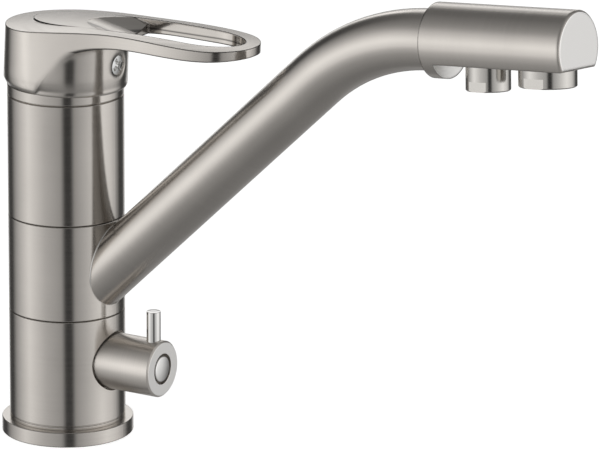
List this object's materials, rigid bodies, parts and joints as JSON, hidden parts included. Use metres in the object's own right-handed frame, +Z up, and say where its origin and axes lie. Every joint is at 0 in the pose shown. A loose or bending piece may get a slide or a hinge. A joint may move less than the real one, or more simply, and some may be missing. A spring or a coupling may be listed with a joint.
{
  "type": "kitchen mixer tap",
  "caption": "Single-lever kitchen mixer tap in brushed nickel with a swivel spout, loop handle, side filter-water valve and separate main and filter outlets.",
  "frame": {"origin": "centre of the foot flange's underside, on the deck", "axes": "+Z up along the column, +X along the filter valve and the lever at rest, with the spout turned about 3 degrees from it towards the hot side, +Y to the cold side"},
  "size_m": [0.2836, 0.0568, 0.2794],
  "materials": {
    "nickel": "brushed nickel",
    "chrome": "polished",
    "brass": "machined",
    "rubber": "matte",
    "white_plastic": "moulded",
    "grey_plastic": "moulded",
    "ceramic": "lapped",
    "steel": "zinc plated",
    "clear_tube": "moulded"
  },
  "bodies": {
    "column": {"base_flange": "nickel", "base_gasket": "rubber", "lower_body": "nickel", "inner_core": "brass", "lower_glide_ring": "white_plastic", "upper_glide_ring": "white_plastic", "core_o_rings": "rubber", "upper_body": "nickel", "cartridge_base": "white_plastic", "cartridge_seals": "rubber", "fixed_disc": "ceramic", "cartridge_housing": "white_plastic", "cartridge_nut": "brass", "cover_collar": "nickel", "fixing_stud": "steel", "fixing_washer": "rubber", "fixing_plate": "steel", "fixing_nut": "steel", "valve_headwork": "brass", "valve_headwork_seal": "rubber", "valve_fixed_disc": "ceramic"},
    "rotor": {"cartridge_rotor": "grey_plastic", "pivot_pin": "steel"},
    "disc": {"disc_carrier": "grey_plastic", "moving_disc": "ceramic"},
    "handle": {"handle_lever": "nickel", "cartridge_spindle": "steel", "handle_screw": "chrome"},
    "valve": {"valve_knob": "nickel", "valve_lever_pin": "chrome", "valve_knob_cap": "chrome", "valve_knob_screw": "steel", "valve_stem": "brass", "valve_moving_disc": "ceramic", "valve_stem_seal": "rubber"},
    "spout": {"swivel_ring": "nickel", "spout_pipe": "nickel", "filter_tube": "clear_tube", "filter_tube_seal": "rubber", "spout_head": "nickel", "head_o_ring": "rubber", "main_aerator_housing": "chrome", "main_aerator_insert": "white_plastic", "main_aerator_washer": "rubber", "filter_aerator_housing": "chrome", "filter_aerator_insert": "white_plastic", "filter_aerator_washer": "rubber"}
  },
  "joints": [
    {"name": "spout_swivel", "type": "hinge", "parent": "column", "child": "spout", "pos_m": [0, 0, 0.076], "axis": [0, 0, 1], "continuous": true},
    {"name": "handle_swing", "type": "hinge", "parent": "column", "child": "rotor", "pos_m": [0, 0, 0.145], "axis": [0, 0, 1], "range_deg": [-50, 50]},
    {"name": "handle_lift", "type": "hinge", "parent": "rotor", "child": "handle", "pos_m": [0, 0, 0.145], "axis": [0, -1, 0], "range_deg": [0, 25]},
    {"name": "disc_slide", "type": "slide", "parent": "rotor", "child": "disc", "axis": [1, 0, 0], "range_m": [0, 0.0051]},
    {"name": "filter_valve_turn", "type": "hinge", "parent": "column", "child": "valve", "pos_m": [0.02, 0, 0.0345], "axis": [1, 0, 0], "range_deg": [0, 90]}
  ],
  "couplings": [
    {"joint": "disc_slide", "follows": "handle_lift", "m_per_rad": 0.01155}
  ]
}
